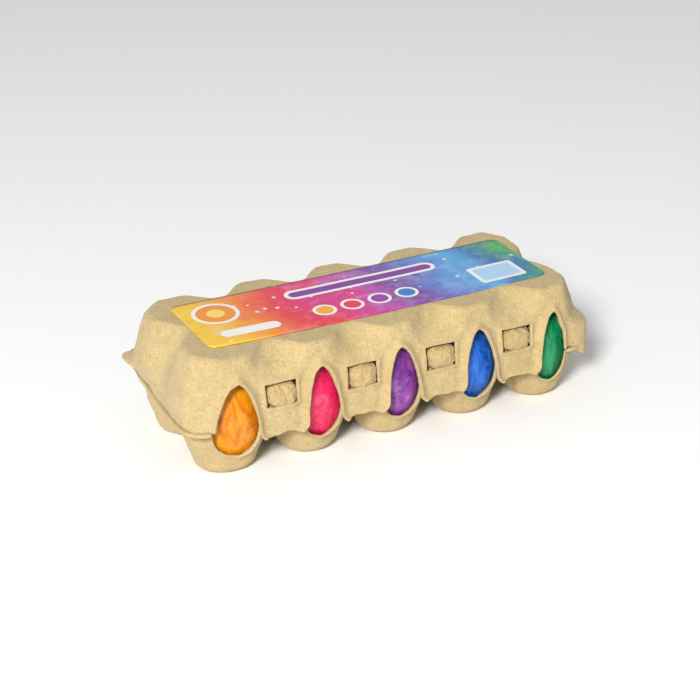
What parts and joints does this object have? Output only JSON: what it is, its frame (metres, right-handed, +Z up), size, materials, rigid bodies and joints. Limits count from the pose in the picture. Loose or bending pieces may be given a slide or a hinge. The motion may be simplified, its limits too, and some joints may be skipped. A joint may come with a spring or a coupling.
{
  "type": "egg carton with eggs",
  "caption": "Hinged moulded-pulp egg carton with a label on its lid, windows in its front and dyed eggs inside, standing shut.",
  "frame": {"origin": "middle of the base, on the surface the carton stands on", "axes": "+X along the rows of eggs, toward the right end seen from the front; -Y toward the front with the windows and the lock; +Z up"},
  "size_m": [0.2458, 0.1028, 0.0709],
  "materials": {
    "pulp": "matt, fibrous",
    "label_paper": "printed and coated",
    "shell_orange": "dyed shell with a soft gloss",
    "shell_pink": "dyed shell with a soft gloss",
    "shell_purple": "dyed shell with a soft gloss",
    "shell_blue": "dyed shell with a soft gloss",
    "shell_green": "dyed shell with a soft gloss"
  },
  "bodies": {
    "tray": {"tray": "pulp", "egg_front_1": "shell_orange", "egg_front_2": "shell_pink", "egg_front_3": "shell_purple", "egg_front_4": "shell_blue", "egg_front_5": "shell_green", "egg_back_1": "shell_green", "egg_back_2": "shell_blue", "egg_back_3": "shell_orange", "egg_back_4": "shell_pink", "egg_back_5": "shell_purple"},
    "lid": {"lid": "pulp", "label": "label_paper"}
  },
  "joints": [
    {"name": "lid_hinge", "type": "hinge", "parent": "tray", "child": "lid", "pos_m": [0, 0.05103, 0.03855], "axis": [-1, 0, 0], "range_deg": [0, 170]}
  ]
}
